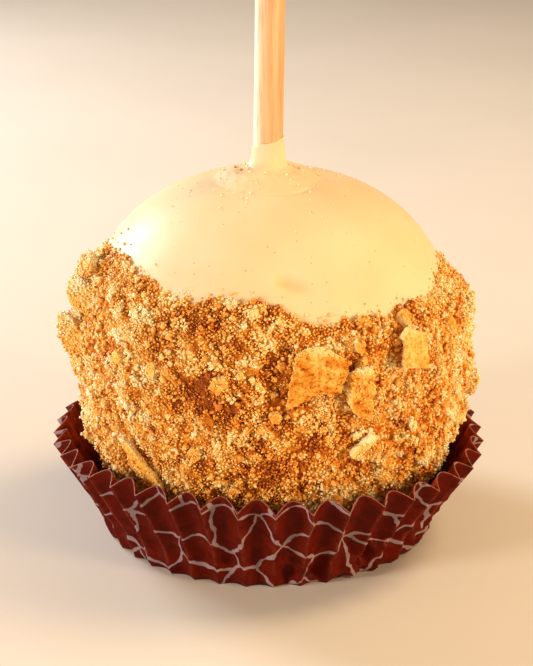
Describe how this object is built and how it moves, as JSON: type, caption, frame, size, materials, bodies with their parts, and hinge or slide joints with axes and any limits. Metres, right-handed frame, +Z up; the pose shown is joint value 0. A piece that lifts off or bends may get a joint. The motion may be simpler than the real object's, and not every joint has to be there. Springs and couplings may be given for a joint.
{
  "type": "caramel apple",
  "caption": "Whole apple on a wooden stick, dipped in pale caramel coating, rolled in biscuit crumbs with larger shards, sitting in a dark pleated paper case.",
  "frame": {"origin": "centre of the paper case's flat underside", "axes": "+Z up, along the stick; -Y is the front, where the large biscuit slab sits; +X to the right of the front"},
  "size_m": [0.0903, 0.0928, 0.163],
  "materials": {
    "dark_brown_paper": "thin glazed baking paper, dark reddish brown, with an irregular white line network outside",
    "cream_coating": "smooth satin cream coating",
    "biscuit_crumbs": "coarse golden crumbs",
    "birch_wood": "plain pale dowel, matte",
    "biscuit": "porous baked biscuit, matte"
  },
  "bodies": {
    "root": {"paper_case": "dark_brown_paper", "dipped_apple": "cream_coating", "crumb_coat": "biscuit_crumbs", "stick": "birch_wood", "biscuit_front_slab": "biscuit", "biscuit_front_wedge": "biscuit", "biscuit_right_plate": "biscuit", "biscuit_left_nugget": "biscuit", "biscuit_left_fan": "biscuit", "biscuit_left_spur": "biscuit", "biscuit_left_splinter": "biscuit", "biscuit_front_baton": "biscuit", "biscuit_right_nugget": "biscuit", "biscuit_back_plate": "biscuit", "biscuit_back_slab": "biscuit", "biscuit_back_baton": "biscuit", "biscuit_back_wedge": "biscuit", "biscuit_back_splinter": "biscuit"}
  },
  "joints": []
}
